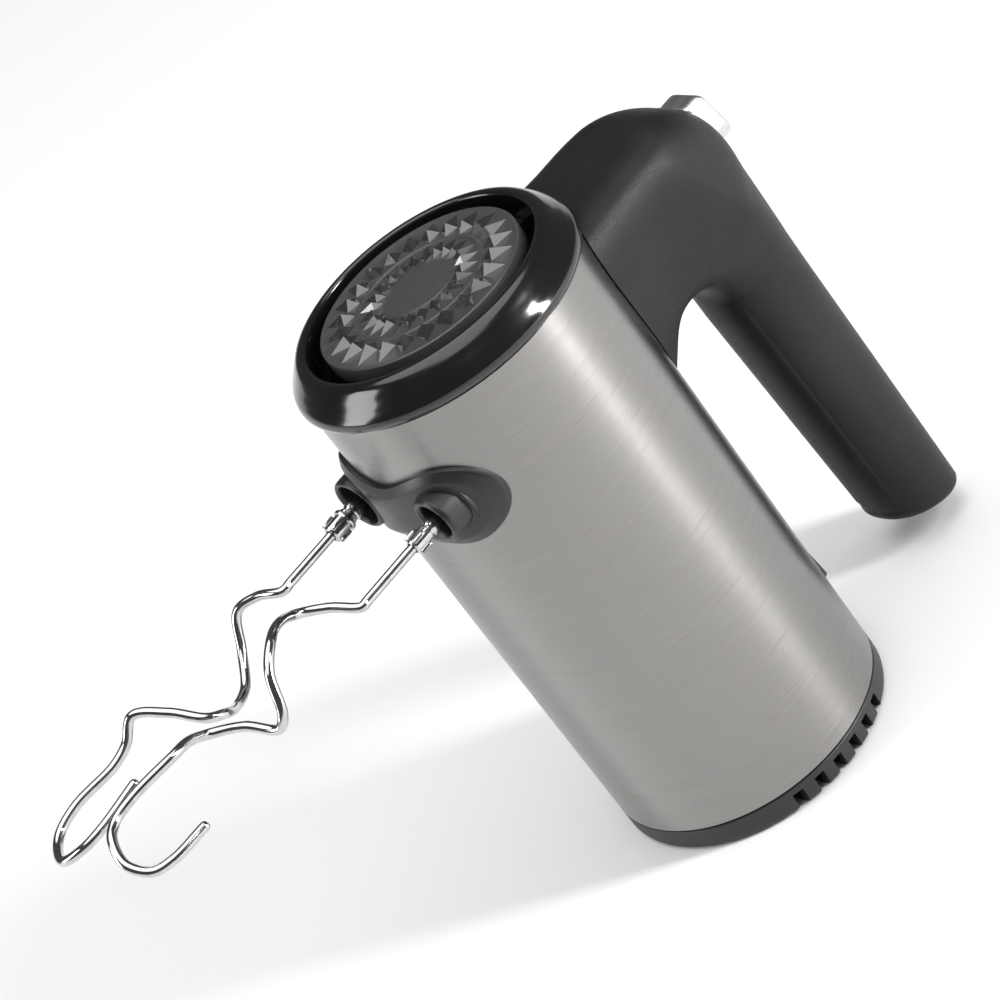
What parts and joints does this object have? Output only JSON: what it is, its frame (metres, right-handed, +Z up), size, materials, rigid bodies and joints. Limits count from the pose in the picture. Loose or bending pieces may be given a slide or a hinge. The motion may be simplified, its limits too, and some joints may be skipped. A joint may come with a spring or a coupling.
{
  "type": "hand mixer",
  "caption": "Hand mixer: an upright round steel body with black end caps, an open-ended handle with a speed and eject knob, and a pair of bent wire dough hooks that plug into its side.",
  "frame": {"origin": "centre of the flat heel that the mixer stands on", "axes": "+Z up the round body from the heel to the nose, +X from the body to the handle, -X from the body to the hooks, and Y from one socket to the other"},
  "size_m": [0.2857, 0.094, 0.1882],
  "materials": {
    "brushed_steel": "brushed round the body",
    "gloss_black": "polished moulding",
    "satin_black": "satin moulding",
    "soft_black": "fine matt soft-touch moulding",
    "knob_silver": "brushed",
    "hook_chrome": "polished",
    "plain_steel": "plain mill finish",
    "bearing_bronze": "sintered",
    "winding_copper": "enamelled wire and copper bars",
    "gear_nylon": "natural moulding",
    "black_moulding": "matt",
    "board_green": "lacquered board"
  },
  "bodies": {
    "mixer_body": {"body_sleeve": "brushed_steel", "rear_cap": "soft_black", "cord_channel": "gloss_black", "cord_hood": "satin_black", "front_bezel": "gloss_black", "cap_carrier": "satin_black", "front_cap": "satin_black", "socket_plate": "satin_black", "handle_shell": "soft_black", "handle_under_cover": "soft_black", "switch_board": "board_green", "speed_switch": "black_moulding", "handle_bracket": "plain_steel", "handle_screw_rear": "plain_steel", "handle_screw_front": "plain_steel", "ejector_spring": "plain_steel", "gear_base": "gear_nylon", "gear_bridge": "plain_steel", "gear_screw_1": "plain_steel", "gear_screw_2": "plain_steel", "gear_screw_3": "plain_steel", "gear_screw_4": "plain_steel", "lower_bush_left": "bearing_bronze", "lower_bush_right": "bearing_bronze", "upper_bush_left": "bearing_bronze", "upper_bush_right": "bearing_bronze", "stator_core": "plain_steel", "field_coil_upper": "winding_copper", "field_coil_lower": "winding_copper", "motor_front_frame": "plain_steel", "motor_rear_frame": "plain_steel", "motor_bolt_left": "plain_steel", "motor_bolt_right": "plain_steel", "rear_bearing": "bearing_bronze", "middle_bearing": "bearing_bronze", "front_bearing": "bearing_bronze", "front_bearing_holder": "plain_steel", "carbon_brush_left": "black_moulding", "carbon_brush_right": "black_moulding", "brush_holder_left": "bearing_bronze", "brush_holder_right": "bearing_bronze"},
    "selector": {"selector_carriage": "gear_nylon"},
    "knob": {"speed_knob": "knob_silver"},
    "ejector": {"eject_rod": "plain_steel", "ejector_yoke": "plain_steel"},
    "rotor": {"rotor_shaft": "plain_steel", "drive_worm": "plain_steel", "rotor_core": "plain_steel", "rotor_winding_rear": "winding_copper", "rotor_winding_front": "winding_copper", "commutator": "winding_copper", "cooling_fan": "gear_nylon"},
    "spindle_left": {"drive_spindle_left": "plain_steel", "worm_wheel_left": "gear_nylon"},
    "spindle_right": {"drive_spindle_right": "plain_steel", "worm_wheel_right": "gear_nylon"},
    "hook_left": {"hook_wire_left": "hook_chrome", "hook_shank_left": "hook_chrome"},
    "hook_right": {"hook_wire_right": "hook_chrome", "hook_shank_right": "hook_chrome"}
  },
  "joints": [
    {"name": "speed_slide", "type": "slide", "parent": "mixer_body", "child": "selector", "axis": [0, 0, -1], "range_m": [0, 0.01]},
    {"name": "eject_press", "type": "slide", "parent": "selector", "child": "knob", "axis": [-1, 0, 0], "range_m": [0, 0.0025], "stiffness_N_per_m": 1500, "springref_m": -0.0005},
    {"name": "ejector_push", "type": "slide", "parent": "mixer_body", "child": "ejector", "axis": [-1, 0, 0], "range_m": [0, 0.0025]},
    {"name": "rotor_spin", "type": "hinge", "parent": "mixer_body", "child": "rotor", "pos_m": [0, 0, 0.082], "axis": [0, 0, 1], "continuous": true},
    {"name": "spindle_left_spin", "type": "hinge", "parent": "mixer_body", "child": "spindle_left", "pos_m": [0, -0.019, 0.145], "axis": [1, 0, 0], "continuous": true},
    {"name": "spindle_right_spin", "type": "hinge", "parent": "mixer_body", "child": "spindle_right", "pos_m": [0, 0.019, 0.145], "axis": [1, 0, 0], "continuous": true},
    {"name": "hook_left_slide", "type": "slide", "parent": "spindle_left", "child": "hook_left", "axis": [-1, 0, 0], "range_m": [0, 0.05]},
    {"name": "hook_right_slide", "type": "slide", "parent": "spindle_right", "child": "hook_right", "axis": [-1, 0, 0], "range_m": [0, 0.05]}
  ],
  "couplings": [
    {"joint": "ejector_push", "follows": "eject_press", "ratio": 1},
    {"joint": "spindle_right_spin", "follows": "rotor_spin", "ratio": 0.041667},
    {"joint": "spindle_left_spin", "follows": "rotor_spin", "ratio": -0.041667}
  ]
}
